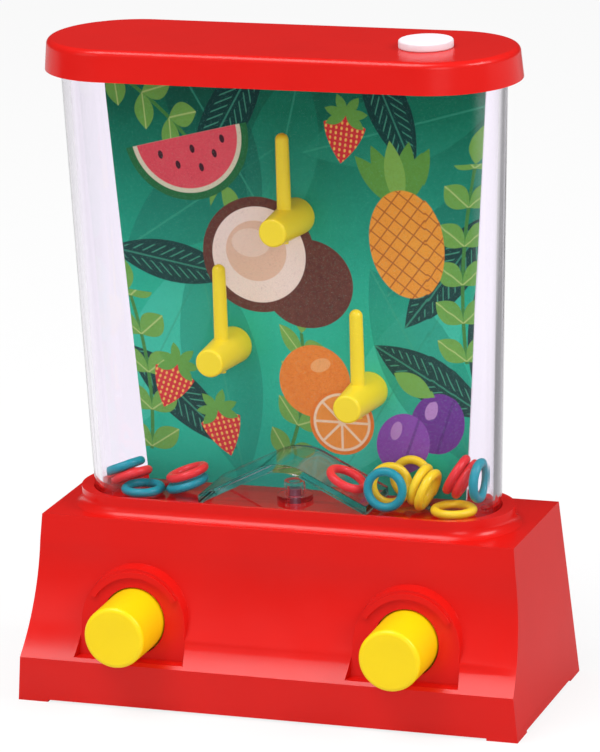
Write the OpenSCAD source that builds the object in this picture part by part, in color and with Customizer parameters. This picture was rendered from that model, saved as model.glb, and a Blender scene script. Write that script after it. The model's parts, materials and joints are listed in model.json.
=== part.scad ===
// Water ring-toss game: a button pumps a jet, the jet lifts the rings, the player lands them on the pegs.
// Millimetres. +Z is up, the front faces -Y, and the origin is the middle of the whole part's footprint.

/* [Base] */
// width of the base at the bottom
base_width = 115; // [112:1:130]
// depth of the base at the bottom
base_depth = 48; // [47:1:56]
// height of the base's flat top
base_height = 40; // [39:1:46]
// how far each end leans in from bottom to top
end_lean = 3.25; // [1:0.25:4]
// how far the back leans in from bottom to top
back_lean = 2.7; // [1:0.1:4]
// height of the upright plinth along the front
plinth_height = 10; // [8:0.5:11]
// how far the flare sets the upper front back from the plinth
flare_depth = 10; // [8:0.5:10.5]
// height where the flare runs out below the top
flare_top = 34; // [32:0.5:36]
// how far the face above the flare leans back
brow_lean = 0.7; // [0.2:0.1:1]
// wall of the base
base_wall = 2; // [1.6:0.1:2.4]
// length of the foot at each corner
foot_length = 7; // [5:0.5:10]
// lift of the skirt between the feet
skirt_lift = 0.5; // [0.3:0.1:0.8]

/* [Collar] */
// rise of the plateau that the tank stands on, above the base's top
plateau_rise = 1.2; // [0.8:0.1:2]
// rise of the collar's rim above the base's top
collar_rise = 4; // [3:0.25:5]
// land between tank and rim along the front
collar_land = 1.4; // [1.2:0.1:1.6]
// further land at the collar's two ends
collar_end = 1.7; // [1:0.1:2]
// radius of the cove at the collar's foot
collar_cove = 2.4; // [1.5:0.1:2.4]
// how far the cove runs below the base's top
cove_dip = 0.15; // [0.1:0.05:0.2]
// fall of the rim's top towards the tank
lip_fall = 0.6; // [0.2:0.1:1]

/* [Button bosses] */
// distance of each button from the middle
button_x = 31.4; // [29:0.2:33]
// height of the button's axis
button_z = 18.7; // [18:0.1:19.5]
// radius of the boss's arch at its face
boss_radius = 12.1; // [11.6:0.1:12.6]
// how much the boss widens from its face to the flare
boss_draft = 0.8; // [0.4:0.1:1.2]
// height of the arch's centre
boss_z = 17.8; // [17:0.1:18.5]
// how far the boss's face lies behind the plinth at the button's axis
boss_set = 4.8; // [4:0.1:5.5]
// how far the boss's face leans back for each millimetre of height
boss_lean = 0.17; // [0.1:0.01:0.2]
// thickness of the boss's face at the button's axis
boss_face = 2.6; // [2.4:0.1:3]
// how much the recess below the arch widens from the face to the plinth's front
recess_draft = 0.8; // [0.4:0.1:1]
// height of the ledge below the boss's face
ledge_height = 10.7; // [10.2:0.1:12]
// how far the raised brow lies inside the edge of the arch
brow_inset = 0.25; // [0.2:0.05:0.5]
// width of the brow
brow_width = 1.3; // [1:0.1:1.8]
// how far the brow stands out
brow_proud = 0.7; // [0.4:0.1:1]
// angle that the brow covers
brow_angle = 116; // [90:2:150]

/* [Buttons and pumps] */
// radius of the button at its front
button_radius = 6.9; // [6.5:0.1:7.2]
// how much the button widens towards its flange
button_draft = 0.2; // [0.1:0.05:0.3]
// how far the button stands out of the boss
button_proud = 12.1; // [10:0.1:13]
// rounding of the button's front edge
button_edge = 1; // [0.5:0.1:1.5]
// depth of the shallow dish in the button's front
button_dish = 0.4; // [0.2:0.1:0.6]
// running gap between the button and its hole
button_gap = 0.3; // [0.25:0.05:0.4]
// radius of the flange that keeps the button in
flange_radius = 8.6; // [8.3:0.1:8.8]
// thickness of the flange
flange_thick = 2; // [1.6:0.1:2.4]
// gap between the flange and its seat
flange_gap = 0.2; // [0.1:0.05:0.3]
// travel of the button
button_travel = 8; // [6:0.5:8]
// straight pipe between the bellows and the elbow's bend
elbow_stub = 0.2; // [0.1:0.1:0.6]
// largest radius of the bellows
bellows_radius = 7.4; // [7:0.1:8]
// depth of each fold of the bellows
bellows_fold = 2.2; // [1.8:0.1:2.6]
// number of folds
bellows_folds = 5; // [4:1:6]
// wall of the bellows
bellows_wall = 0.9; // [0.7:0.1:1.1]
// radius of the elbow pipe
elbow_radius = 4; // [3.8:0.1:4.4]
// radius of the elbow's water way
elbow_bore = 1.6; // [1.2:0.1:2]
// radius of the elbow's foot
elbow_foot = 3.2; // [2.8:0.1:3.6]

/* [Bottom cover and screws] */
// height of the cover's underside
cover_lift = 2; // [1.8:0.1:2.4]
// thickness of the cover
cover_thick = 2; // [1.6:0.1:2.6]
// gap between the cover and the base's wall
cover_gap = 0.2; // [0.15:0.05:0.3]
// height of the posts that carry the elbows
post_height = 8; // [7:0.5:9]
// radius of those posts
post_radius = 4.4; // [4:0.1:5]
// radius of the screw bosses inside the base
screw_boss = 4; // [3.6:0.1:4.4]
// distance of the screws from the base's ends and front
screw_inset = 6.5; // [6:0.1:7]
// height of the screw bosses above the cover
screw_boss_rise = 16; // [14:0.5:18]
// radius of the screws' shanks
screw_radius = 1.25; // [1.1:0.05:1.4]
// radius of the screws' heads
screw_head = 2.6; // [2.4:0.1:2.8]
// thickness of the screws' heads
screw_head_thick = 1.2; // [1:0.1:1.4]
// length of the shanks
screw_length = 10; // [8:0.5:12]
// play of a screw in its thread
thread_gap = 0.05; // [0.04:0.01:0.08]
// play of a screw in a plain hole
hole_gap = 0.3; // [0.2:0.05:0.4]

/* [Tank] */
// half of the straight run between the tank's round ends
tank_run = 35.5; // [35:0.5:38]
// outer radius of the tank at its floor
tank_radius = 11.1; // [11:0.1:11.2]
// draft of the tank's walls in degrees
tank_draft = 2; // [1.5:0.1:2.2]
// wall of the tank
tank_wall = 1.8; // [1.6:0.1:1.9]
// thickness of the tank's floor
tank_floor = 1.8; // [1.6:0.1:2.4]
// depth of the tank from rim to floor
tank_depth = 100; // [96:1:110]
// distance of the tank's middle behind the base's middle
tank_y = 1.8; // [1.6:0.1:2.4]
// play of the tank in the collar
tank_gap = 0.2; // [0.15:0.05:0.3]
// distance of the jets behind the tank's middle
jet_y = 2.7; // [2.2:0.1:3.2]
// radius of the jets
jet_radius = 1.25; // [1:0.05:1.5]
// radius of the spigots under the floor
spigot_radius = 2.8; // [2.6:0.1:3]
// length of the spigots below the floor
spigot_length = 7.2; // [6.5:0.1:8]
// play of the spigots in their sockets and holes
spigot_gap = 0.15; // [0.1:0.05:0.25]
// radius of the disc round the centre boss
boss_disc = 4; // [3.5:0.1:4.5]
// thickness of that disc
boss_disc_thick = 1.2; // [1:0.1:1.5]
// radius of the centre boss
boss_post = 2.3; // [2.2:0.1:2.6]
// height of the centre boss above the floor
boss_post_height = 4.2; // [3.8:0.1:4.6]
// radius of the moulding nub on the floor
nub_radius = 1; // [0.8:0.1:1.2]
// height of the nub
nub_height = 0.8; // [0.5:0.1:1]

/* [Deflector] */
// clear floor from the deflector's end to the end of the straight run
deflector_clear = 16.1; // [15.9:0.1:17]
// slope of the deflector in degrees
deflector_slope = 26.5; // [25:0.5:27]
// thickness of its sheet
deflector_sheet = 1.9; // [1.6:0.1:2]
// radius of its ridge
deflector_ridge = 12; // [8:0.5:14]
// width of its feet on the floor
deflector_foot = 1; // [0.8:0.1:1.4]
// gap between the deflector and the tank's front wall
deflector_gap = 0.3; // [0.25:0.05:0.4]

/* [Back panel and pegs] */
// distance of the panel's front face behind the tank's middle
panel_set = 6.9; // [6.8:0.1:7]
// thickness of the panel
panel_thick = 1.2; // [1:0.1:1.4]
// width of the panel at the floor
panel_foot = 73.9; // [70:0.5:75]
// width of the panel at its top
panel_head = 88.5; // [84:0.5:89]
// gap between the panel's top and the cap
panel_gap = 0.6; // [0.4:0.1:0.8]
// play of the panel in its groove, and of the deflector against it
panel_play = 0.25; // [0.2:0.05:0.4]
// distance of the side pegs from the middle
peg_x = 15.6; // [15:0.1:16]
// height of the top peg's arm above the floor
peg_top_rise = 62.1; // [58:0.5:66]
// height of the left peg's arm above the floor
peg_left_rise = 32.2; // [30:0.5:36]
// height of the right peg's arm above the floor
peg_right_rise = 23.8; // [23.5:0.1:28]
// length of a peg's arm
peg_arm = 16; // [14:0.2:16.4]
// radius of the arm at the panel
peg_root = 3.7; // [3.4:0.1:3.8]
// radius of the arm at its tip
peg_tip = 3; // [2.6:0.1:3.2]
// rounding of the arm's tip
peg_edge = 0.6; // [0.3:0.1:0.9]
// distance of the pin from the panel
pin_set = 7.7; // [7:0.1:8.5]
// radius of the pin
pin_radius = 1.45; // [1.3:0.05:1.6]
// height of the pin above the arm's axis
pin_height = 20.2; // [18:0.2:22]
// radius of the moulding gate left under the arm
gate_radius = 0.7; // [0.5:0.1:0.9]
// how far the gate stands out
gate_proud = 0.5; // [0.3:0.1:0.7]
// radius of the tail that goes through the panel
tail_radius = 1.5; // [1.3:0.1:1.8]
// play of the tail in the panel
tail_gap = 0.1; // [0.08:0.02:0.2]

/* [Cap and plug] */
// half of the straight run of the cap
cap_run = 35.1; // [35:0.1:37]
// radius of the cap at its lower edge
cap_radius = 18.2; // [17.8:0.1:19]
// how much the cap's side leans in towards its top
cap_lean = 0.5; // [0.3:0.1:0.8]
// thickness of the cap's top
cap_plate = 2.3; // [2:0.1:2.8]
// depth of the cap's skirt below that plate
cap_drop = 4.5; // [4:0.1:5.5]
// thickness of the skirt
cap_skirt = 1.6; // [1.4:0.1:1.8]
// rounding of the cap's upper edge
cap_edge = 1.4; // [0.8:0.1:1.8]
// depth of the groove that takes the tank's rim
groove_depth = 3; // [2.6:0.1:3.4]
// thickness of the groove's two ribs
groove_rib = 1.2; // [1:0.1:1.3]
// play of the rim in the groove
groove_gap = 0.15; // [0.1:0.05:0.2]
// half the length of the ribs that hold the panel's top
panel_rib = 22; // [18:1:26]
// distance of the fill hole from the middle
fill_x = 33; // [31:0.2:35]
// distance of the fill hole in front of the tank's middle
fill_y = 1.3; // [0.5:0.1:2]
// radius of the fill hole
fill_radius = 4.6; // [4.2:0.1:5]
// radius of the plug's head
plug_head = 6.2; // [6:0.1:6.6]
// thickness of the plug's head
plug_head_thick = 1.2; // [1:0.1:1.5]
// rounding of the head's edge
plug_edge = 0.5; // [0.3:0.1:0.7]
// length of the plug's stem
plug_stem = 5; // [4.5:0.1:6]
// play of the stem in the hole
plug_gap = 0.12; // [0.1:0.02:0.2]

/* [Rings] */
// outer diameter of a ring
ring_outer = 9.8; // [9.6:0.05:9.8]
// thickness of a ring
ring_tube = 1.9; // [1.8:0.05:1.9]
// gap under a ring that lies on the floor
ring_gap = 0.3; // [0.3:0.05:0.4]

/* [Hidden] */
$fn = 64;
e = 0.01;
base_mid = (button_proud - boss_set) / 2;
base_front = base_mid - base_depth / 2;
base_back = base_mid + base_depth / 2;
tank_mid = base_mid + tank_y;
end_slope = end_lean / base_height;
flare_rise = flare_top - plinth_height;
flare_radius = (flare_depth * flare_depth + flare_rise * flare_rise) / (2 * flare_depth);
flare_y = base_front + flare_depth - flare_radius;
boss_y = base_front + boss_set;
seat_y = boss_y + boss_face;
flange_y = seat_y + flange_gap;
bellows_y = flange_y + flange_thick;
button_front = boss_y - button_proud;
counterbore = flange_radius + 0.8;
cavity_top = base_height - base_wall;
plateau = base_height + plateau_rise;
floor_z = plateau + tank_floor;
rim_z = floor_z + tank_depth;
draft = tan(tank_draft);
tank_inner = tank_radius - tank_wall;
jet_place_y = tank_mid + jet_y;
bellows_end = jet_place_y - elbow_radius - elbow_stub;
bellows_length = bellows_end - bellows_y;
spigot_end = plateau - spigot_length;
elbow_top = cavity_top - 0.4;
cover_top = cover_lift + cover_thick;
post_top = cover_top + post_height;
screw_x = base_width / 2 - screw_inset;
screw_front = base_front + screw_inset;
screw_back = base_back - screw_inset + 1;
panel_y = tank_mid + panel_set;
panel_back = panel_y + panel_thick;
deflector_half = tank_run - deflector_clear;
deflector_rise = deflector_sheet / cos(deflector_slope) + deflector_half * tan(deflector_slope);
ridge_z = floor_z + deflector_rise - deflector_ridge / cos(deflector_slope);
cap_top = rim_z + cap_plate;
fill_place_y = tank_mid - fill_y;
ring_radius = (ring_outer - ring_tube) / 2;

// outer radius of the tank's wall at height z
function tank_out(z) = tank_radius + (z - floor_z) * draft;
// inner radius of the tank's wall at height z
function tank_in(z) = tank_out(z) - tank_wall;
// depth of the boss's leaning face at height z
function boss_at(z) = boss_y + (z - button_z) * boss_lean;

// sweeps a profile (radius, height) round an obround whose straight runs reach from -run to run
module obround(run) {
    for (side = [0, 180]) rotate([0, 0, side]) {
        translate([run, 0, 0]) rotate([0, 0, -90]) rotate_extrude(angle = 180) children();
        translate([-run, 0, 0]) rotate([90, 0, 90]) linear_extrude(2 * run) children();
    }
}

// turns a profile (radius, length) about an axis that points to the back
module turned() {
    rotate([-90, 0, 0]) rotate_extrude() children();
}

// a round bar that points to the back, from y0 to y1
module bar(y0, y1, r) {
    translate([0, y0, 0]) rotate([-90, 0, 0]) cylinder(h = y1 - y0, r = r);
}

// side profile of the base, drawn in by inset, with the concave flare along the front
module side_profile(inset) {
    difference() {
        polygon([
            [base_front + inset, -1],
            [base_back - inset, -1],
            [base_back - inset, 0],
            [base_back - back_lean - inset, base_height - inset],
            [base_front + flare_depth + brow_lean + inset, base_height - inset],
            [base_front + flare_depth + inset, flare_top],
            [base_front + inset, flare_top]]);
        translate([flare_y, flare_top]) circle(flare_radius + inset, $fn = 128);
    }
}

// front outline of the base, drawn in by inset
module end_profile(inset) {
    low = base_width / 2 - inset;
    high = base_width / 2 - end_lean - inset;
    polygon([[-low, -1], [low, -1], [low, 0], [high, base_height], [-high, base_height], [-low, 0]]);
}

// body of the base: the side profile and the front outline cut each other
module base_form(inset) {
    intersection() {
        translate([-base_width, 0, 0]) rotate([90, 0, 90]) linear_extrude(2 * base_width) side_profile(inset);
        translate([0, base_depth, 0]) rotate([90, 0, 0]) linear_extrude(2 * base_depth) end_profile(inset);
    }
}

// slab along the boss's leaning face, between two distances behind that face
module leaning_slab(front, back) {
    low = ledge_height;
    high = boss_z + boss_radius + 2 * boss_draft;
    translate([-base_width / 2, 0, 0]) rotate([90, 0, 90]) linear_extrude(base_width) polygon([
        [boss_at(low) + front, low], [boss_at(low) + back, low],
        [boss_at(high) + back, high], [boss_at(high) + front, high]]);
}

// arched boss round a button: drafted arch above, drafted straight sides below, leaning face
module boss_block() {
    front = boss_at(ledge_height);
    back = boss_y + boss_set + 2;
    slope = boss_draft / (back - boss_y);
    half = boss_radius - slope * (boss_y - front);
    intersection() {
        union() {
            translate([0, front, boss_z]) rotate([-90, 0, 0])
                cylinder(h = back - front, r1 = half, r2 = boss_radius + boss_draft);
            translate([0, 0, ledge_height]) linear_extrude(boss_z - ledge_height) polygon([
                [-half, front], [half, front],
                [boss_radius + boss_draft, back], [-boss_radius - boss_draft, back]]);
        }
        leaning_slab(0, 2 * boss_set + 2);
    }
}

// raised brow that follows the top of the arch
module boss_brow() {
    reach = boss_set;
    intersection() {
        translate([0, boss_y + reach, boss_z]) rotate([90, 0, 0]) rotate([0, 0, 90 - brow_angle / 2])
            rotate_extrude(angle = brow_angle)
                translate([boss_radius - brow_inset - brow_width, 0]) square([brow_width, 2 * reach]);
        leaning_slab(-brow_proud, 0.5);
    }
}

// cut that takes the flare back to the boss's face below the arch
module boss_recess() {
    slope = recess_draft / boss_set;
    front = boss_y - boss_set - 1;
    back = boss_y + boss_set;
    near = boss_radius + slope * (boss_y - front);
    far = boss_radius - slope * (back - boss_y);
    intersection() {
        translate([0, 0, ledge_height]) linear_extrude(boss_z - ledge_height + 2)
            polygon([[-near, front], [near, front], [far, back], [-far, back]]);
        leaning_slab(-2 * boss_set, 0);
    }
}

// wall that closes the base behind that cut
module boss_backing() {
    half = boss_radius + boss_draft + base_wall;
    translate([-half, base_front, ledge_height - base_wall])
        cube([2 * half, boss_set + boss_face, boss_z - ledge_height + base_wall]);
}

// profile of the collar: cove at the foot, rim, and top that falls towards the tank
module collar_profile() {
    radius = tank_radius + collar_land;
    difference() {
        polygon([
            [0, base_height - 1],
            [radius + collar_cove, base_height - 1],
            [radius + collar_cove, base_height + collar_cove],
            [radius, base_height + collar_cove],
            [radius, base_height + collar_rise],
            [0, base_height + collar_rise - lip_fall]]);
        translate([radius + collar_cove, base_height + collar_cove - cove_dip]) circle(collar_cove);
    }
}

// pocket in the collar that takes the tank's foot
module pocket_profile() {
    top = base_height + collar_rise + 1;
    polygon([[0, plateau], [tank_out(plateau) + tank_gap, plateau], [tank_out(top) + tank_gap, top], [0, top]]);
}

module base_shell() {
    color([0.87, 0.16, 0.14]) difference() {
        union() {
            difference() {
                base_form(0);
                for (side = [-1, 1]) translate([side * button_x, 0, 0]) boss_recess();
            }
            for (side = [-1, 1]) translate([side * button_x, 0, 0]) {
                boss_block();
                boss_brow();
            }
            translate([0, tank_mid, 0]) obround(tank_run + collar_end) collar_profile();
        }
        // hollow, with the screw bosses and the walls behind the button bosses left standing
        difference() {
            base_form(base_wall);
            for (x = [-screw_x, screw_x], y = [screw_front, screw_back])
                translate([x, y, cover_top]) cylinder(h = screw_boss_rise, r = screw_boss);
            for (side = [-1, 1]) translate([side * button_x, 0, 0]) boss_backing();
        }
        // flat base line, and skirt lifted between the feet
        translate([-base_width, -base_depth, -2]) cube([2 * base_width, 2 * base_depth, 2]);
        translate([foot_length - base_width / 2, -base_depth, -1])
            cube([base_width - 2 * foot_length, 2 * base_depth, skirt_lift + 1]);
        translate([-base_width, base_front + foot_length, -1])
            cube([2 * base_width, base_depth - 2 * foot_length, skirt_lift + 1]);
        // threads of the cover's screws
        for (x = [-screw_x, screw_x], y = [screw_front, screw_back])
            translate([x, y, cover_top - 1]) cylinder(h = screw_length, r = screw_radius + thread_gap);
        // button holes with the room for their flanges
        for (side = [-1, 1]) translate([side * button_x, 0, button_z]) {
            bar(boss_y - 2, seat_y + 1, button_radius + button_draft + button_gap);
            bar(seat_y, bellows_y + button_travel, counterbore);
        }
        // pocket for the tank, holes for its spigots and its screw
        translate([0, tank_mid, 0]) obround(tank_run) pocket_profile();
        for (side = [-1, 1]) translate([side * button_x, jet_place_y, cavity_top - 1])
            cylinder(h = plateau, r = spigot_radius + spigot_gap);
        translate([0, tank_mid, cavity_top - 1]) cylinder(h = plateau, r = screw_radius + hole_gap);
    }
}

module bottom_cover() {
    color([0.80, 0.14, 0.12]) difference() {
        union() {
            intersection() {
                base_form(base_wall + cover_gap);
                translate([-base_width, -base_depth, cover_lift])
                    cube([2 * base_width, 2 * base_depth, cover_thick]);
            }
            for (side = [-1, 1]) translate([side * button_x, jet_place_y, cover_top - 1])
                cylinder(h = post_height + 1, r = post_radius);
        }
        for (x = [-screw_x, screw_x], y = [screw_front, screw_back])
            translate([x, y, 0]) cylinder(h = base_height, r = screw_radius + hole_gap);
    }
}

// screw with a cross recess, its head's seat at the origin and its point upwards
module screw(length) {
    difference() {
        union() {
            translate([0, 0, -screw_head_thick]) cylinder(h = screw_head_thick, r = screw_head);
            cylinder(h = length, r = screw_radius);
        }
        for (turn = [0, 90]) rotate([0, 0, turn])
            translate([-screw_radius, -0.3, -screw_head_thick - 1]) cube([2 * screw_radius, 0.6, 1.6]);
    }
}

module base_screws() {
    color([0.7, 0.7, 0.72])
        for (x = [-screw_x, screw_x], y = [screw_front, screw_back])
            translate([x, y, cover_lift]) screw(screw_length);
}

module tank_screw() {
    color([0.7, 0.7, 0.72]) translate([0, tank_mid, cavity_top])
        screw(floor_z - cavity_top + boss_post_height - 1.6);
}

// wall and floor of the tank
module tank_profile() {
    polygon([[0, plateau], [tank_out(plateau), plateau], [tank_out(rim_z), rim_z],
        [tank_in(rim_z), rim_z], [tank_in(floor_z), floor_z], [0, floor_z]]);
}

module tank() {
    color([0.9, 0.9, 0.96, 0.35]) difference() {
        union() {
            translate([0, tank_mid, 0]) obround(tank_run) tank_profile();
            for (side = [-1, 1]) translate([side * button_x, jet_place_y, spigot_end])
                cylinder(h = spigot_length + tank_floor / 2, r = spigot_radius);
            translate([0, tank_mid, floor_z - 0.5]) {
                cylinder(h = boss_disc_thick + 0.5, r = boss_disc);
                cylinder(h = boss_post_height + 0.5, r = boss_post);
            }
            translate([tank_run + tank_inner - 2 * nub_radius, tank_mid + 2 * nub_radius, floor_z - 0.5])
                cylinder(h = nub_height + 0.5, r = nub_radius);
        }
        for (side = [-1, 1]) translate([side * button_x, jet_place_y, spigot_end - 1])
            cylinder(h = spigot_length + tank_floor + 2, r = jet_radius);
        translate([0, tank_mid, plateau - 1])
            cylinder(h = tank_floor + boss_post_height, r = screw_radius + thread_gap);
    }
}

// half-plane form of the roof, drawn in by the sheet's thickness
module roof(inset, half) {
    drop = inset / cos(deflector_slope);
    radius = deflector_ridge - inset;
    peak = floor_z + deflector_rise - drop;
    knee = radius * sin(deflector_slope);
    intersection() {
        union() {
            polygon([[-half, floor_z - 5], [half, floor_z - 5],
                [half, peak - half * tan(deflector_slope)],
                [knee, peak - knee * tan(deflector_slope)],
                [-knee, peak - knee * tan(deflector_slope)],
                [-half, peak - half * tan(deflector_slope)]]);
            translate([0, ridge_z]) circle(radius, $fn = 96);
        }
        translate([-half, floor_z - inset]) square([2 * half, deflector_rise + inset]);
    }
}

module deflector() {
    front = tank_mid - tank_inner + deflector_gap;
    back = panel_y - panel_play;
    color([0.92, 0.93, 0.95, 0.35]) translate([0, back, 0]) rotate([90, 0, 0])
        linear_extrude(back - front) difference() {
            roof(0, deflector_half);
            roof(deflector_sheet, deflector_half - deflector_foot);
        }
}

module back_panel() {
    head = tank_depth - panel_gap;
    color([0.95, 0.96, 0.95]) difference() {
        translate([0, panel_back, floor_z]) rotate([90, 0, 0]) linear_extrude(panel_thick)
            polygon([[-panel_foot / 2, 0], [panel_foot / 2, 0], [panel_head / 2, head], [-panel_head / 2, head]]);
        for (p = [[0, peg_top_rise], [-peg_x, peg_left_rise], [peg_x, peg_right_rise]])
            translate([p[0], 0, floor_z + p[1]]) bar(panel_y - 1, panel_back + 1, tail_radius + tail_gap);
    }
}

// peg: tapered arm with a rounded tip, upright pin, moulding gate and a tail through the panel
module peg(x, rise) {
    color([1, 0.87, 0.16]) translate([x, panel_y, floor_z + rise]) {
        rotate([90, 0, 0]) rotate_extrude() {
            polygon([[0, 0], [peg_root, 0], [peg_tip, peg_arm - peg_edge], [peg_tip - peg_edge, peg_arm],
                [0, peg_arm]]);
            translate([peg_tip - peg_edge, peg_arm - peg_edge]) circle(peg_edge, $fn = 32);
        }
        translate([0, -pin_set, 0]) {
            cylinder(h = pin_height - pin_radius, r = pin_radius);
            translate([0, 0, pin_height - pin_radius]) sphere(pin_radius);
            translate([0, 0, -peg_root - gate_proud + 0.3]) cylinder(h = peg_root, r = gate_radius);
        }
        bar(-1, panel_thick, tail_radius);
    }
}

module peg_top() {
    peg(0, peg_top_rise);
}

module peg_left() {
    peg(-peg_x, peg_left_rise);
}

module peg_right() {
    peg(peg_x, peg_right_rise);
}

// outer form of the cap with its leaning side and rounded upper edge
module cap_profile() {
    low = rim_z - cap_drop;
    high = cap_radius - cap_lean;
    difference() {
        union() {
            polygon([[0, low], [cap_radius, low], [high, cap_top - cap_edge], [high - cap_edge, cap_top], [0, cap_top]]);
            translate([high - cap_edge, cap_top - cap_edge]) circle(cap_edge, $fn = 48);
        }
        polygon([[0, low - 1], [cap_radius - cap_skirt, low - 1], [cap_radius - cap_skirt - cap_lean, rim_z], [0, rim_z]]);
    }
}

// two ribs under the cap between which the tank's rim sits
module groove_profile() {
    low = rim_z - groove_depth;
    inside = tank_in(low) - groove_gap;
    outside = tank_out(rim_z) + groove_gap;
    translate([inside - groove_rib, low]) square([groove_rib, groove_depth + 0.5]);
    translate([outside, low]) square([groove_rib, groove_depth + 0.5]);
}

module top_cap() {
    low = rim_z - groove_depth;
    color([0.87, 0.16, 0.14]) difference() {
        union() {
            translate([0, tank_mid, 0]) obround(cap_run) cap_profile();
            difference() {
                translate([0, tank_mid, 0]) obround(tank_run) groove_profile();
                translate([-panel_head, panel_y - panel_play, low - 1])
                    cube([2 * panel_head, panel_thick + 2 * panel_play, groove_depth + 1]);
            }
            for (y = [panel_y - panel_play - groove_rib, panel_back + panel_play])
                translate([-panel_rib, y, low]) cube([2 * panel_rib, groove_rib, groove_depth + 0.5]);
        }
        translate([fill_x, fill_place_y, rim_z - 1]) cylinder(h = cap_plate + 2, r = fill_radius);
    }
}

module fill_plug() {
    color([0.97, 0.97, 0.97]) translate([fill_x, fill_place_y, cap_top]) rotate_extrude() {
        polygon([[0, 0], [plug_head, 0], [plug_head, plug_head_thick - plug_edge],
            [plug_head - plug_edge, plug_head_thick], [0, plug_head_thick]]);
        translate([plug_head - plug_edge, plug_head_thick - plug_edge]) circle(plug_edge, $fn = 32);
        polygon([[0, -plug_stem], [fill_radius - plug_gap - 0.6, -plug_stem],
            [fill_radius - plug_gap, 0.6 - plug_stem], [fill_radius - plug_gap, e], [0, e]]);
    }
}

// button: drafted barrel with a dished, rounded front and a flange that keeps it in
module button(side) {
    length = flange_y - button_front;
    color([0.99, 0.86, 0.06]) translate([side * button_x, button_front, button_z]) turned() difference() {
        union() {
            polygon([[0, 0], [button_radius - button_edge, 0], [button_radius, button_edge],
                [button_radius + button_draft, length], [button_radius + button_draft, length + 0.5], [0, length + 0.5]]);
            translate([button_radius - button_edge, button_edge]) circle(button_edge, $fn = 48);
            translate([0, length]) square([flange_radius, flange_thick]);
        }
        polygon([[0, -1], [button_radius - 2 * button_edge, -1], [button_radius - 2 * button_edge, 0], [0, button_dish]]);
    }
}

module left_button() {
    button(-1);
}

module right_button() {
    button(1);
}

// bellows: folded wall from a formula, closed at the button and open to the elbow
module bellows(side) {
    pitch = bellows_length / (2 * bellows_folds);
    steps = [for (k = [0:2 * bellows_folds]) k];
    outer = [for (k = steps) [bellows_radius - (k % 2 == 0 ? bellows_fold : 0), k * pitch]];
    inner = [for (k = steps) outer[2 * bellows_folds - k] - [bellows_wall, 0]];
    color([0.25, 0.25, 0.27]) translate([side * button_x, bellows_y, button_z]) turned() {
        polygon(concat(outer, inner));
        square([bellows_radius - bellows_fold, bellows_wall]);
        translate([elbow_radius - 1, bellows_length - bellows_wall])
            square([bellows_radius - bellows_fold - elbow_radius + 1, bellows_wall]);
    }
}

module left_bellows() {
    bellows(-1);
}

module right_bellows() {
    bellows(1);
}

// elbow: pipe from the bellows to the spigot, standing on the cover's post
module elbow(side) {
    color([0.85, 0.86, 0.88]) translate([side * button_x, 0, 0]) difference() {
        union() {
            translate([0, 0, button_z]) bar(bellows_end, jet_place_y, elbow_radius);
            translate([0, jet_place_y, button_z]) sphere(elbow_radius);
            translate([0, jet_place_y, button_z]) cylinder(h = elbow_top - button_z, r = elbow_radius);
            translate([0, jet_place_y, post_top]) cylinder(h = button_z - post_top, r = elbow_foot);
        }
        translate([0, 0, button_z]) bar(bellows_end - 1, jet_place_y, elbow_bore);
        translate([0, jet_place_y, button_z - elbow_bore / 2]) cylinder(h = elbow_top, r = elbow_bore);
        translate([0, jet_place_y, spigot_end - spigot_gap])
            cylinder(h = spigot_length + plateau, r = spigot_radius + spigot_gap);
    }
}

module left_elbow() {
    elbow(-1);
}

module right_elbow() {
    elbow(1);
}

// ring on the left (side -1) or right (side 1): out is its place beyond the end of the straight run, back its
// place behind the tank's middle, tilt raises its +X side, turn swings it about Z, lift is how high it lies
module ring(side, out, back, tilt, turn, lift) {
    translate([side * (tank_run + out), tank_mid + back,
        floor_z + ring_gap + ring_tube / 2 + ring_radius * abs(sin(tilt)) + lift])
        rotate([0, -tilt, turn]) rotate_extrude() translate([ring_radius, 0]) circle(ring_tube / 2, $fn = 48);
}

module ring_teal_1() {
    color([0.16, 0.63, 0.65]) ring(-1, 4.3, -0.8, 24, -25, 2.1);
}

module ring_red_1() {
    color([0.92, 0.24, 0.24]) ring(-1, 2.5, -1.2, 24, -30, 0.3);
}

module ring_teal_2() {
    color([0.16, 0.63, 0.65]) ring(-1, -1.3, -4, 0, 0, 0);
}

module ring_red_2() {
    color([0.92, 0.24, 0.24]) ring(-1, -11.1, -1.8, 18, 0, 2.4);
}

module ring_teal_3() {
    color([0.16, 0.63, 0.65]) ring(-1, -11.2, -2.2, 18, 0, 0);
}

module ring_red_3() {
    color([0.92, 0.24, 0.24]) ring(1, -21.9, -4, deflector_slope, 180, 3.6);
}

module ring_teal_4() {
    color([0.16, 0.63, 0.65]) ring(1, -12.4, -6.7, 84, 90, 0.5);
}

module ring_yellow_1() {
    color([1, 0.80, 0.16]) ring(1, -12.8, -1.8, 72, 120, 0.3);
}

module ring_yellow_2() {
    color([1, 0.80, 0.16]) ring(1, -10.1, 4.7, 80, 90, 0);
}

module ring_yellow_3() {
    color([1, 0.80, 0.16]) ring(1, -6.1, -1.6, 70, -5, 0.8);
}

module ring_yellow_4() {
    color([1, 0.80, 0.16]) ring(1, -4.1, -2.7, 69, -5, 0);
}

module ring_red_4() {
    color([0.92, 0.24, 0.24]) ring(1, 1.1, 1.5, 60, 0, 2.9);
}

module ring_red_5() {
    color([0.92, 0.24, 0.24]) ring(1, 3.1, 1.5, 60, 0, 2);
}

module ring_yellow_5() {
    color([1, 0.80, 0.16]) ring(1, 1.9, -3.7, 0, 0, 0);
}

module ring_teal_5() {
    color([0.16, 0.63, 0.65]) ring(1, 7, -1.2, 88, -6, 2.2);
}

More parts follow.
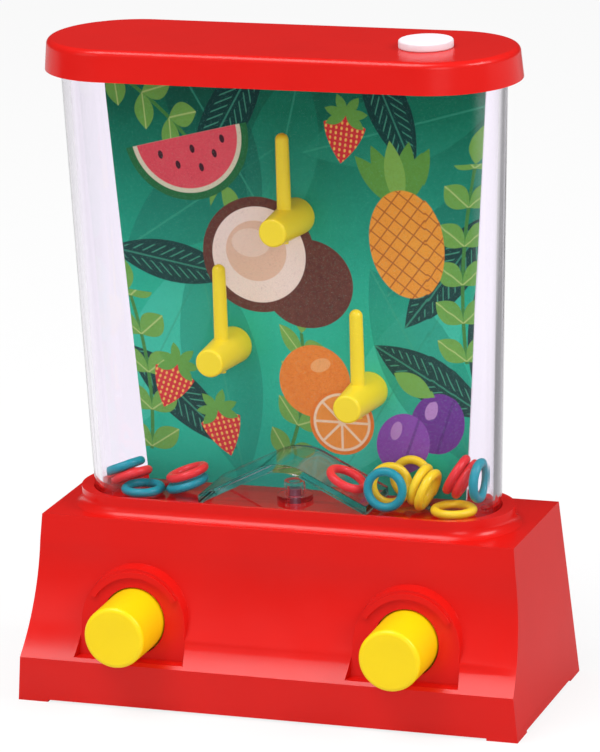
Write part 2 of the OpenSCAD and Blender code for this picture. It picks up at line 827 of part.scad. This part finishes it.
base_shell();
bottom_cover();
base_screws();
tank();
tank_screw();
deflector();
back_panel();
peg_top();
peg_left();
peg_right();
top_cap();
fill_plug();
left_button();
right_button();
left_bellows();
right_bellows();
left_elbow();
right_elbow();
ring_teal_1();
ring_teal_2();
ring_teal_3();
ring_teal_4();
ring_teal_5();
ring_red_1();
ring_red_2();
ring_red_3();
ring_red_4();
ring_red_5();
ring_yellow_1();
ring_yellow_2();
ring_yellow_3();
ring_yellow_4();
ring_yellow_5();
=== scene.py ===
# Hand-held water ring-toss game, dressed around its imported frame.
# Lengths are in metres unless a name ends in _mm.
import json
import math

import bmesh
import bpy
from mathutils import Matrix, Vector

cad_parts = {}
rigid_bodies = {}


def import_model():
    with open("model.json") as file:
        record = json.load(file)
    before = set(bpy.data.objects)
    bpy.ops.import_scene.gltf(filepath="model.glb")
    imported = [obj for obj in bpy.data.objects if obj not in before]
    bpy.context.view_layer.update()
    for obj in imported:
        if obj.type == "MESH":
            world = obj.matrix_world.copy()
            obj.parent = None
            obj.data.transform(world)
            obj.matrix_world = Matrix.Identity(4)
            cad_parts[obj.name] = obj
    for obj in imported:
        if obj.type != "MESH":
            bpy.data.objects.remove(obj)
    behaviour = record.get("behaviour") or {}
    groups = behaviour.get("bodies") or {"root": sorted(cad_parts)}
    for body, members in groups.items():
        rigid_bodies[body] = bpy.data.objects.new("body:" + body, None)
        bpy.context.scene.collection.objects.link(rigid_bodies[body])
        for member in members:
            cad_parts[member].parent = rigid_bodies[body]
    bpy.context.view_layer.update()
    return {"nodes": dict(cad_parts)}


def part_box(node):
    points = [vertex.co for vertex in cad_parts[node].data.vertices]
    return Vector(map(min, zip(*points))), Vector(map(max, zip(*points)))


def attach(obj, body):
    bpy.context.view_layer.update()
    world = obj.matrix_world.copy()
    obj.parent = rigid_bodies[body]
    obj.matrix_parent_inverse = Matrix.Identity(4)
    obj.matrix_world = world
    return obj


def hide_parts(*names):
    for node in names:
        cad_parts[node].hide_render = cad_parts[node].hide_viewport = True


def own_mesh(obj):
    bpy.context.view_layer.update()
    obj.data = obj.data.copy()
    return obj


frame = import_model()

scene = bpy.context.scene
scene.view_settings.view_transform = "Standard"


# Base shell
# The stand of the game: one injection-moulded shell of glossy red plastic with a plinth, sloping sides, a
# collar for the tank and two raised bosses for the buttons. Its outer corners are rounded by about a
# millimetre.
class Wire:
    """One output in a material's nodes. Arithmetic on it adds Math nodes to the same material."""

    def __init__(self, tree, socket=None):
        self.tree = tree
        self.socket = socket

    def make(self, kind, settings=None, inputs=None, out=0):
        """Adds a node of any kind: first its settings, then a value or a wire for each socket named."""
        node = self.tree.nodes.new(kind)
        for name, value in (settings or {}).items():
            setattr(node, name, value)
        for name, value in (inputs or {}).items():
            if isinstance(value, Wire):
                self.tree.links.new(value.socket, node.inputs[name])
            else:
                node.inputs[name].default_value = value
        return Wire(self.tree, node.outputs[out])

    def math(self, operation, *values, clamp=False):
        settings = {"operation": operation, "use_clamp": clamp}
        return self.make("ShaderNodeMath", settings, dict(enumerate(values)))

    def __add__(self, other):
        return self.math("ADD", self, other)

    __radd__ = __add__

    def __sub__(self, other):
        return self.math("SUBTRACT", self, other)

    def __rsub__(self, other):
        return self.math("SUBTRACT", other, self)

    def __mul__(self, other):
        return self.math("MULTIPLY", self, other)

    __rmul__ = __mul__

    def __truediv__(self, other):
        return self.math("DIVIDE", self, other)

    def __abs__(self):
        return self.math("ABSOLUTE", self)

    def times_plus(self, factor, plus):
        return self.math("MULTIPLY_ADD", self, factor, plus)

    def held(self):
        """The same value, held between 0 and 1."""
        return self.math("ADD", self, 0.0, clamp=True)

    def noise(self, scale, detail=2.0, rough=0.5):
        sockets = {"Vector": self, "Scale": scale, "Detail": detail, "Roughness": rough}
        return self.make("ShaderNodeTexNoise", {"noise_dimensions": "3D"}, sockets)

    def mixed(self, below, above):
        """The colour below where this value is 0, and the colour above where it is 1."""
        return self.make("ShaderNodeMix", {"data_type": "RGBA"}, {0: self, 6: below, 7: above}, 2)

    def to(self, socket):
        self.tree.links.new(self.socket, socket)


def paint(red, green, blue):
    """A colour as given, 0 to 255, as the linear colour that a shader takes."""
    linear = []
    for part in (red, green, blue):
        share = part / 255
        linear.append(share / 12.92 if share <= 0.04045 else ((share + 0.055) / 1.055) ** 2.4)
    return (*linear, 1.0)


def shaded(colour, factor):
    return (*[min(1.0, part * factor) for part in colour[:3]], 1.0)


def new_finish(name):
    """A new material: itself, its Principled shader and a wire with Object coordinates."""
    finish = bpy.data.materials.new(name)
    finish.use_nodes = True
    place = Wire(finish.node_tree).make("ShaderNodeTexCoord", out="Object")
    return finish, finish.node_tree.nodes["Principled BSDF"], place


def moulded_plastic(name, colour, rough, cloud_scale, skin_scale, skin_depth):
    """Coloured plastic as it leaves the mould: slightly cloudy colour, uneven gloss and a faint skin."""
    finish, shader, place = new_finish(name)
    cloud = place.noise(cloud_scale, 3.0)
    cloud.mixed(shaded(colour, 0.93), shaded(colour, 1.06)).to(shader.inputs["Base Color"])
    gloss = place.noise(cloud_scale * 2.3, 4.0, 0.6)
    gloss.times_plus(0.12, rough - 0.06).to(shader.inputs["Roughness"])
    skin = place.noise(skin_scale, 2.0)
    sockets = {"Strength": 0.12, "Distance": skin_depth, "Height": skin}
    place.make("ShaderNodeBump", {}, sockets).to(shader.inputs["Normal"])
    shader.inputs["IOR"].default_value = 1.5
    shader.inputs["Specular IOR Level"].default_value = 0.35
    return finish


def round_edges(piece, width, degrees, share):
    """Rounds each edge sharper than an angle by a share of the width; share is a function of that edge."""
    mesh = bmesh.new()
    mesh.from_mesh(piece.data)
    weight = mesh.edges.layers.float.new("bevel_weight_edge")
    for edge in mesh.edges:
        if edge.calc_face_angle(0.0) > math.radians(degrees):
            edge[weight] = share(edge)
    mesh.to_mesh(piece.data)
    mesh.free()
    rounding = piece.modifiers.new("Rounded edges", "BEVEL")
    rounding.width = width
    rounding.segments = 3
    rounding.limit_method = "WEIGHT"
    bpy.ops.object.modifier_apply(modifier=rounding.name)


def moulded_copy(node, body, slot, finish, edge, share=lambda edge: 1.0):
    """A merged copy of a CAD node with its sharp edges rounded by edge, which then stands for that node."""
    bpy.ops.object.select_all(action="DESELECT")
    solid = frame["nodes"][node]
    solid.select_set(True)
    bpy.context.view_layer.objects.active = solid
    bpy.ops.object.duplicate(linked=False)
    piece = bpy.context.view_layer.objects.active
    piece.name = node + "_moulding"
    bpy.ops.object.parent_clear(type="CLEAR_KEEP_TRANSFORM")
    for mark in list(piece.keys()):
        del piece[mark]
    bpy.ops.mesh.customdata_custom_splitnormals_clear()
    bpy.ops.object.mode_set(mode="EDIT")
    bpy.ops.mesh.select_all(action="SELECT")
    bpy.ops.mesh.remove_doubles(threshold=0.00002)
    bpy.ops.mesh.dissolve_degenerate(threshold=0.00002)
    bpy.ops.mesh.dissolve_limited(angle_limit=math.radians(0.1))
    bpy.ops.object.mode_set(mode="OBJECT")
    smooth_degrees = 32
    if edge:
        round_edges(piece, edge, smooth_degrees, share)
    bpy.ops.object.shade_smooth_by_angle(angle=math.radians(smooth_degrees))
    even = piece.modifiers.new("Even shading", "WEIGHTED_NORMAL")
    even.keep_sharp = True
    bpy.ops.object.modifier_apply(modifier=even.name)
    piece.data.materials.clear()
    piece.data.materials.append(finish)
    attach(piece, body)
    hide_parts(node)
    return piece


red_plastic = moulded_plastic("red_plastic", paint(218, 24, 18), 0.24, 45, 900, 0.00004)


base_corner = 0.001
foot_height = 0.003
top_edges_above = 0.03
long_edge = 0.02


def base_share(edge):
    """Full rounding on the outline of the ends and on the long top edges, and less on the smaller forms."""
    middle = (edge.verts[0].co + edge.verts[1].co) / 2
    on_end = any(face.normal.x * math.copysign(1, middle.x) > 0.9 for face in edge.link_faces)
    long_top = middle.z > top_edges_above and edge.calc_length() > long_edge
    return 1.0 if (on_end and middle.z > foot_height) or long_top else 0.3


moulded_copy("base_shell", "case", "red_plastic", red_plastic, base_corner, base_share)


# Bottom cover and its screws
# A flat plate of the same red plastic closes the base from below. Four steel screws hold the plate, and one
# screw holds the tank's foot from inside the base. They are seen only when the game is turned over.
moulded_copy("bottom_cover", "case", "red_plastic", red_plastic, 0.0003)

steel, shader, place = new_finish("screw_steel")
drawn = place.noise(700, 3.0)
drawn.mixed(paint(150, 152, 156), paint(188, 190, 194)).to(shader.inputs["Base Color"])
drawn.times_plus(0.2, 0.24).to(shader.inputs["Roughness"])
shader.inputs["Metallic"].default_value = 1.0
for node in ("base_screws", "tank_screw"):
    moulded_copy(node, "case", "steel", steel, 0.0)


# Pump bellows and water pipes
# Inside the base a dark rubber bellows stands behind each button; on the real game it folds up as the button
# comes in, but here it only gets a mesh of its own. A pale elbow pipe leads from it up to the jet in the
# tank's floor. The photograph can't show them.
rubber, shader, place = new_finish("bellows_rubber")
bloom = place.noise(220, 4.0, 0.6)
bloom.mixed(paint(38, 38, 42), paint(66, 66, 70)).to(shader.inputs["Base Color"])
bloom.times_plus(0.2, 0.55).to(shader.inputs["Roughness"])
for side in ("left", "right"):
    bellows = moulded_copy(side + "_bellows", "case", "bellows_rubber", rubber, 0.0)
    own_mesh(bellows)

pipe_plastic = moulded_plastic("pipe_plastic", paint(214, 216, 220), 0.4, 90, 1200, 0.00004)
for side in ("left", "right"):
    moulded_copy(side + "_elbow", "case", "pipe_plastic", pipe_plastic, 0.0002)


# Buttons
# Two round push buttons of bright yellow plastic with a flat face and a rounded rim, standing out of the
# bosses on the front. A finger drives them about 8 mm into the base.
button_yellow = moulded_plastic("button_yellow", paint(254, 217, 8), 0.34, 60, 1400, 0.00004)
for side in ("left", "right"):
    moulded_copy(side + "_button", side + "_button", "button_yellow", button_yellow, 0.0003)


# Tank
# The water tank: one thin-walled moulding of clear plastic with round ends and a little draft, so its walls
# show a faint lavender tint where the eye looks along them. It is pushed into the collar and screwed from
# below.
def clear_plastic(name, tint):
    """Clear glossy plastic that lets the lamps and the room's light through to what stands behind it."""
    finish, shader, place = new_finish(name)
    smear = place.noise(70, 3.0)
    smear.times_plus(0.05, 0.005).to(shader.inputs["Roughness"])
    shader.inputs["Base Color"].default_value = tint
    shader.inputs["IOR"].default_value = 1.49
    shader.inputs["Transmission Weight"].default_value = 1.0
    open_way = place.make("ShaderNodeBsdfTransparent", {}, {"Color": tint})
    surface = Wire(finish.node_tree, shader.outputs[0])
    for light in ("Is Shadow Ray", "Is Diffuse Ray"):
        passing = place.make("ShaderNodeLightPath", out=light)
        surface = place.make("ShaderNodeMixShader", {}, {0: passing, 1: surface, 2: open_way})
    surface.to(finish.node_tree.nodes["Material Output"].inputs["Surface"])
    return finish


clear_wall = clear_plastic("clear_plastic", paint(252, 248, 255))
moulded_copy("tank", "case", "clear_plastic", clear_wall, 0.0)


# Deflector
# A low clear roof on the tank's floor between the two jets. It turns the water and lets rings slide aside.
moulded_copy("deflector", "case", "clear_plastic", clear_wall, 0.0002)


# Back panel
# A stiff plastic sheet behind the pegs, printed on its front with leaves and fruit on a teal-green ground and
# left white on its back. Its foot stands on the tank's floor and it leans on the tank's back wall.
# The print's ground and leaves carry painted light: painted shade at the top, under the cap, and a painted
# reflection that makes them paler towards the bottom.
panel_low, panel_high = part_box("back_panel")
print_face_mm = panel_low[1] * 1000 + 0.3

printed, shader, place = new_finish("printed_panel")
axes = place.make("ShaderNodeSeparateXYZ", {}, {0: place}, "X")
split = axes.socket.node
x = Wire(printed.node_tree, split.outputs["X"]) * 1000
y = Wire(printed.node_tree, split.outputs["Y"]) * 1000
z = Wire(printed.node_tree, split.outputs["Z"]) * 1000
SOFT_MM = 0.16


def turned(centre_x, centre_z, degrees):
    """Distances in mm along and across a direction, from a point on the panel."""
    along_x = math.cos(math.radians(degrees))
    along_z = math.sin(math.radians(degrees))
    along = x.times_plus(along_x, z.times_plus(along_z, -centre_x * along_x - centre_z * along_z))
    across = z.times_plus(along_x, x.times_plus(-along_z, centre_x * along_z - centre_z * along_x))
    return along, across


def inside(distance):
    """1 where a distance in mm is positive, with a soft printed edge."""
    return distance.math("MULTIPLY_ADD", distance, 1 / SOFT_MM, 0.5, clamp=True)


def oval(along, across, half_long, half_wide):
    """How far inside an oval a point is, in mm; negative outside."""
    joined = along.make("ShaderNodeCombineXYZ", {}, {0: along / half_long, 1: across / half_wide})
    reach = along.make("ShaderNodeVectorMath", {"operation": "LENGTH"}, {0: joined}, "Value")
    return reach.times_plus(-half_wide, half_wide)


def blade(along, across, length, half_wide):
    """How far inside a pointed leaf a point is, in mm."""
    share = along / length
    return (share * (1 - share)).times_plus(4 * half_wide, -1 * abs(across))


def rib(across, half_wide):
    return inside(half_wide - abs(across))


grain = place.noise(2400, 2.0, 0.7)
wash = place.noise(42, 4.0, 0.6)
# low is 0 at the print's top and 1 towards its bottom. It carries painted shade and painted reflection: the
# ground is darker at the top, as shade under the cap, and paler towards the bottom, as a reflection of the
# white table in the tank's front wall.
low = ((128 - z) / 44).held()
blotch = wash.times_plus(1.6, -0.3).held()
painted_shade_top_tone = blotch.mixed(paint(0, 104, 74), paint(2, 124, 88))
painted_light_bottom_tone = blotch.mixed(paint(8, 184, 140), paint(44, 206, 162))
picture = low.mixed(painted_shade_top_tone, painted_light_bottom_tone)

# broad leaves of the ground, tone on tone
for row in ((-44, 52, 62, 52, 8, 1), (-14, 44, 100, 54, 9, 0), (8, 46, 58, 56, 9, 1), (40, 50, 118, 50, 9, 0),
            (-40, 96, 34, 46, 9, 0), (-8, 98, 76, 42, 8, 1), (20, 88, 40, 44, 8, 0), (46, 132, 196, 46, 8, 1),
            (-30, 144, 300, 44, 8, 0)):
    along, across = turned(row[0], row[1], row[2])
    leaf = inside(blade(along, across, row[3], row[4]))
    # Each leaf tone is also darker at the top and paler towards the bottom. This is the same painted shade
    # and painted reflection as on the ground.
    pale_leaf = low.mixed(paint(8, 140, 100), paint(70, 214, 174))
    deep_leaf = low.mixed(paint(0, 84, 64), paint(12, 156, 122))
    tone = pale_leaf if row[5] else deep_leaf
    picture = (leaf * 0.62).mixed(picture, tone)
    picture = (leaf * rib(across, 0.22) * 0.55).mixed(picture, paint(58, 178, 136))

# dark leaves with short dashes for veins
for row in ((45, 108, 232, 34, 5.2), (46, 100, 262, 36, 5), (43, 62, 150, 30, 5), (-41, 74, 318, 34, 5),
            (-44, 96, 350, 30, 4.6), (-6, 143, 240, 36, 5), (16, 144, 292, 30, 4.8)):
    along, across = turned(*row[:3])
    leaf = inside(blade(along, across, row[3], row[4]))
    picture = leaf.mixed(picture, paint(8, 68, 60))
    slant = abs(across).times_plus(-1.3, along)
    dash = slant.math("PINGPONG", slant, 1.1)
    dashed = inside(blade(along, across, row[3], row[4] - 1.4))
    mark = inside(0.24 - dash) * inside(abs(across) - 0.9) * dashed
    picture = (mark * 0.85).mixed(picture, paint(70, 168, 128))
    picture = (leaf * rib(across, 0.2)).mixed(picture, paint(52, 146, 112))


def sprig(picture, foot_x, foot_z, degrees, length, bend, pitch):
    """A bent stem with pairs of round lime leaves and one leaf at its tip."""
    along, across = turned(foot_x, foot_z, degrees)
    across = across - along * along * bend
    on_stem = inside(along) * inside(length - along)
    picture = (on_stem * rib(across, 0.42)).mixed(picture, paint(70, 146, 62))
    step = along.math("FLOORED_MODULO", along, pitch) - 0.6
    out = abs(across)
    leaf_along = step.times_plus(0.62, out * 0.785)
    leaf_across = out.times_plus(0.62, step * -0.785)
    depth = blade(leaf_along, leaf_across, pitch * 0.95, pitch * 0.3)
    leaf = on_stem * inside(depth)
    tip = inside(blade(along - length, across, pitch, pitch * 0.3))
    green = wash.mixed(paint(86, 164, 66), paint(140, 198, 84))
    picture = leaf.math("MAXIMUM", leaf, tip).mixed(picture, green)
    return (leaf * rib(leaf_across, 0.16)).mixed(picture, paint(176, 214, 120))


for row in ((-36, 50, 84, 36, 0.006, 8.5), (38, 74, 96, 44, -0.004, 8.5), (-42, 136, -30, 34, -0.008, 8),
            (-4, 50, 66, 28, 0.010, 7.5)):
    picture = sprig(picture, *row)

# halved coconut and a whole one behind it
along, across = turned(-9, 96, 0)
husk = place.noise(900, 3.0).mixed(paint(86, 44, 34), paint(122, 70, 50))
picture = inside(oval(along - 11, across + 6, 10.5, 10)).mixed(picture, husk)
picture = inside(oval(along, across, 13, 13)).mixed(picture, husk)
picture = inside(oval(along, across, 10.8, 10.8)).mixed(picture, paint(252, 240, 214))
picture = inside(oval(along + 0.6, across - 0.8, 7, 6.8)).mixed(picture, paint(238, 206, 168))
picture = inside(oval(along + 1.8, across - 2.6, 4.4, 3.2)).mixed(picture, paint(247, 226, 194))

# pineapple with its crown
along, across = turned(25, 100, 98)
for lean in (-34, 34, -17, 17, 0):
    leaf_along, leaf_across = turned(25 - 1.2, 108, 98 + lean)
    leaf = inside(blade(leaf_along, leaf_across, 15, 2.3))
    picture = leaf.mixed(picture, paint(96, 166, 62) if lean else paint(130, 190, 78))
body = inside(oval(along, across, 12, 8.4))
picture = body.mixed(picture, wash.mixed(paint(238, 146, 40), paint(252, 190, 62)))
rising = along + across
falling = along - across
lattice_a = inside(0.22 - rising.math("PINGPONG", rising, 1.9))
lattice_b = inside(0.22 - falling.math("PINGPONG", falling, 1.9))
lattice = lattice_a.math("MAXIMUM", lattice_a, lattice_b)
picture = (body * lattice * 0.8).mixed(picture, paint(176, 92, 30))

# slice of melon
along, across = turned(-25, 122, 14)
lower = inside(-1 * across)
picture = (lower * inside(oval(along, across, 14.5, 14.5))).mixed(picture, paint(36, 120, 62))
picture = (lower * inside(oval(along, across, 12.9, 12.9))).mixed(picture, paint(226, 232, 190))
flesh = lower * inside(oval(along, across, 11.9, 11.9))
picture = flesh.mixed(picture, wash.mixed(paint(226, 62, 76), paint(244, 108, 112)))
for seed_along, seed_across in ((-7, -3), (-3.6, -6), (0.6, -3.2), (1.6, -7.6), (5.4, -5.2), (8, -2.4)):
    seed = inside(oval(along - seed_along, across - seed_across, 0.55, 0.95))
    picture = seed.mixed(picture, paint(70, 30, 40))

# pair of plums
for centre_x, centre_z, tone in ((31, 60, paint(112, 56, 150)), (23, 55, paint(146, 84, 184))):
    along, across = turned(centre_x, centre_z, 70)
    plum = inside(oval(along, across, 7, 6))
    picture = plum.mixed(picture, tone)
    picture = (plum * inside(0.3 - abs(across + 1.6)) * 0.5).mixed(picture, paint(84, 40, 120))
    shine = inside(oval(along - 2.2, across - 2.4, 2.2, 1.2))
    picture = (shine * 0.7).mixed(picture, paint(214, 172, 226))
along, across = turned(30, 66, 150)
picture = inside(blade(along, across, 10, 2.4)).mixed(picture, paint(120, 186, 80))

# strawberries
for centre_x, centre_z, degrees in ((-29, 70, 250), (-20, 60, 285), (12, 128, 262)):
    along, across = turned(centre_x, centre_z, degrees)
    share = (along / 11).held()
    taper = (1 - share * share) * (share * 5).held()
    berry = inside(taper.times_plus(5.2, -0.2 - abs(across)))
    picture = berry.mixed(picture, wash.mixed(paint(206, 34, 44), paint(236, 66, 66)))
    seed_along = along.math("PINGPONG", along, 1.2)
    seed_across = across.math("PINGPONG", across, 1.2)
    seed = berry * inside(oval(seed_along - 0.6, seed_across - 0.6, 0.36, 0.26))
    picture = seed.mixed(picture, paint(250, 206, 96))
    for lean in (100, -100, 150, -150, 60, -60):
        leaf_along, leaf_across = turned(centre_x, centre_z, degrees + lean)
        picture = inside(blade(leaf_along, leaf_across, 5, 1.1)).mixed(picture, paint(104, 176, 70))

# oranges, one whole and one cut
along, across = turned(3, 68, 20)
whole = inside(oval(along, across, 8.2, 8.2))
picture = whole.mixed(picture, place.noise(1500).mixed(paint(236, 124, 30), paint(250, 160, 58)))
picture = (inside(oval(along - 2.6, across - 3, 2.4, 1.5)) * 0.6).mixed(picture, paint(255, 204, 130))
along, across = turned(9, 59, 0)
picture = inside(oval(along, across, 7.4, 7.4)).mixed(picture, paint(240, 134, 36))
picture = inside(oval(along, across, 6.6, 6.6)).mixed(picture, paint(255, 232, 182))
pulp = inside(oval(along, across, 6, 6))
bearing = along.math("ARCTAN2", across, along)
sector = bearing.math("PINGPONG", bearing, math.pi / 8)
reach = along.math("SQRT", along * along + across * across)
pulp = pulp * inside(sector * reach - 0.28) * inside(reach - 0.9)
picture = pulp.mixed(picture, paint(250, 164, 60))

picture = (grain.times_plus(-3, 1.4).held() * 0.3).mixed(picture, paint(0, 40, 34))
picture = (grain.times_plus(4, -2.2).held() * 0.22).mixed(picture, paint(90, 200, 160))
# Painted reflection: a faint pale veil mixed into the lower part of the print.
picture = (low * 0.03).mixed(picture, paint(226, 236, 230))
front = inside(print_face_mm - y)
front.mixed(paint(232, 236, 234), picture).to(shader.inputs["Base Color"])
grain.times_plus(0.15, 0.42).to(shader.inputs["Roughness"])
shader.inputs["Specular IOR Level"].default_value = 0.05
sockets = {"Strength": 0.1, "Distance": 0.00003, "Height": grain}
place.make("ShaderNodeBump", {}, sockets).to(shader.inputs["Normal"])
moulded_copy("back_panel", "case", "printed_panel", printed, 0.0)


# Pegs
# Three upright pins on blunt arms that stick out of the panel, moulded in yellow plastic. The arms widen a
# little more towards the panel than the CAD ones. The rings are to be floated over the pins.
peg_yellow = moulded_plastic("peg_yellow", paint(255, 234, 46), 0.32, 80, 1400, 0.00003)
peg_arms_mm = {"peg_top": (0, 105.1), "peg_left": (-15.6, 75.2), "peg_right": (15.6, 66.8)}
arm_tip_y = -0.00365
arm_length = 0.016
arm_reach = 0.0044
wider_at_tip = 0.05
wider_to_root = 0.08
for node, (arm_x, arm_z) in peg_arms_mm.items():
    piece = moulded_copy(node, "case", "peg_yellow", peg_yellow, 0.0003)
    for corner in piece.data.vertices:
        out = Vector((corner.co.x - arm_x / 1000, 0, corner.co.z - arm_z / 1000))
        along = (corner.co.y - arm_tip_y) / arm_length
        if out.length < arm_reach and along < 1.001:
            corner.co += out * (wider_at_tip + wider_to_root * along)


# Cap and filling plug
# The cap is a shallow red lid with rounded ends that closes the tank. A white rubber plug stops its filling
# hole; its head is a little narrower and higher than the CAD one.
moulded_copy("top_cap", "case", "red_plastic", red_plastic, 0.0006)
white_rubber = moulded_plastic("white_rubber", paint(237, 232, 238), 0.5, 70, 1500, 0.00004)
plug = moulded_copy("fill_plug", "fill_plug", "white_rubber", white_rubber, 0.0003)
plug_low, plug_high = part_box("fill_plug")
axis = Vector(((plug_low[0] + plug_high[0]) / 2, (plug_low[1] + plug_high[1]) / 2, 0))
head_from = 0.1452
head_rim_from = 0.146
head_narrower = 0.05
head_higher = 0.0006
for corner in plug.data.vertices:
    out = Vector((corner.co.x - axis.x, corner.co.y - axis.y, 0))
    if corner.co.z > head_from:
        corner.co -= out * head_narrower
    if corner.co.z > head_rim_from:
        corner.co.z += head_higher


# Rings
# Fifteen small plastic rings in teal, red and yellow, moulded with a round section, lying loose on the tank's
# floor at both sides of the deflector.
ring_colours = {"teal": paint(30, 156, 164), "red": paint(236, 58, 58), "yellow": paint(255, 224, 40)}
for tone, colour in ring_colours.items():
    ring_plastic = moulded_plastic("ring_" + tone, colour, 0.3, 150, 2000, 0.00003)
    for number in range(1, 6):
        node = "ring_" + tone + "_" + str(number)
        moulded_copy(node, node, "ring_" + tone, ring_plastic, 0.0)


# Floor, light and camera
# A plain white table and surround, with dark cards in front and behind on the right that only gloss reflects.
# Soft lamps above, left, right and in front, and a long lens where the photograph was taken. The table seen
# through clear walls glows a little more, to make up for what the walls reflect.
bpy.ops.object.select_all(action="DESELECT")
bpy.ops.mesh.primitive_plane_add(size=8)
floor = bpy.context.active_object
floor.name = "floor"
pale, shader, place = new_finish("pale_floor")
shader.inputs["Roughness"].default_value = 0.9
shader.inputs["Specular IOR Level"].default_value = 0.0


def seen_by(tree):
    """Wires that are 1 for rays straight from the camera, through clear walls, off gloss and off matt."""
    path = Wire(tree).make("ShaderNodeLightPath").socket.node
    rays = ("Is Camera Ray", "Is Glossy Ray", "Is Transmission Ray", "Is Diffuse Ray", "Glossy Depth")
    camera, glossy, glass, matt, mirrors = [Wire(tree, path.outputs[name]) for name in rays]
    mirrored = mirrors.held()
    return camera, glass * (1 - mirrored), (glossy + glass * mirrored).held(), matt


direct, through, by_gloss, by_matt = seen_by(pale.node_tree)
split = place.make("ShaderNodeSeparateXYZ", {}, {0: place}, "Y")
across = Wire(pale.node_tree, split.socket.node.outputs["X"])
behind = split.times_plus(6, 0.7).held()
flag = abs(across - 0.13).times_plus(-8, 1.3).held()
card = by_gloss * (1 - behind * flag.times_plus(-0.68, 0.9)) + by_matt * 0.3
card.mixed(paint(244, 244, 244), paint(70, 70, 70)).to(shader.inputs["Base Color"])
brightness = through.times_plus(0.14, 1)
glow = place.make("ShaderNodeEmission", {}, {"Color": (1, 1, 1, 1), "Strength": brightness})
share = (direct + through).held() * 0.8
cloth = Wire(pale.node_tree, shader.outputs[0])
surface = place.make("ShaderNodeMixShader", {}, {0: share, 1: cloth, 2: glow})
surface.to(pale.node_tree.nodes["Material Output"].inputs["Surface"])
floor.data.materials.append(pale)

studio = bpy.data.worlds.new("studio")
scene.world = studio
studio.use_nodes = True
direct, through, by_gloss, by_matt = seen_by(studio.node_tree)
heading = by_gloss.make("ShaderNodeTexCoord", out="Generated")
split = heading.make("ShaderNodeSeparateXYZ", {}, {0: heading}, "Y")
behind = split.times_plus(1.5, 0.5).held()
gloss_level = by_gloss * behind.times_plus(0.03, 0.02)
room_level = by_matt * 0.53
backdrop = studio.node_tree.nodes["Background"]
backdrop.inputs["Color"].default_value = (1, 1, 1, 1)
(direct + through + gloss_level + room_level).to(backdrop.inputs["Strength"])


def soft_lamp(name, place, watts, size, aim):
    """A square soft box that points at a place on the object."""
    lamp = bpy.data.lights.new(name, "AREA")
    lamp.energy = watts
    lamp.size = size
    holder = bpy.data.objects.new(name, lamp)
    scene.collection.objects.link(holder)
    holder.location = place
    holder.rotation_euler = (Vector(aim) - Vector(place)).to_track_quat("-Z", "Y").to_euler()


middle = (0, 0, 0.07)
soft_lamp("top_lamp", (-0.25, -0.32, 1.0), 6.0, 0.6, middle)
soft_lamp("left_lamp", (-0.75, -0.85, 0.5), 1.0, 0.6, middle)
soft_lamp("right_lamp", (0.95, -0.1, 0.8), 6.4, 0.5, middle)
soft_lamp("front_lamp", (0.45, -1.1, 0.45), 2.2, 0.5, (0, 0, 0.09))

eye = Vector((0.33185, -0.91640, 0.34662))
aim = Vector((0.002461, 0.00365, 0.071359))
roll = math.radians(1.926)
back = (eye - aim).normalized()
level = Vector((0, 0, 1)).cross(back).normalized()
rise = back.cross(level)
right = level * math.cos(roll) - rise * math.sin(roll)
up = level * math.sin(roll) + rise * math.cos(roll)
lens = bpy.data.cameras.new("long_lens")
focal_pixels = 4670.4
picture_height_pixels = 752
lens.sensor_width = 36
lens.lens = focal_pixels * lens.sensor_width / picture_height_pixels
lens.clip_start = 0.05
camera = bpy.data.objects.new("long_lens", lens)
scene.collection.objects.link(camera)
camera.matrix_world = Matrix.Translation(eye) @ Matrix((right, up, back)).transposed().to_4x4()
scene.camera = camera
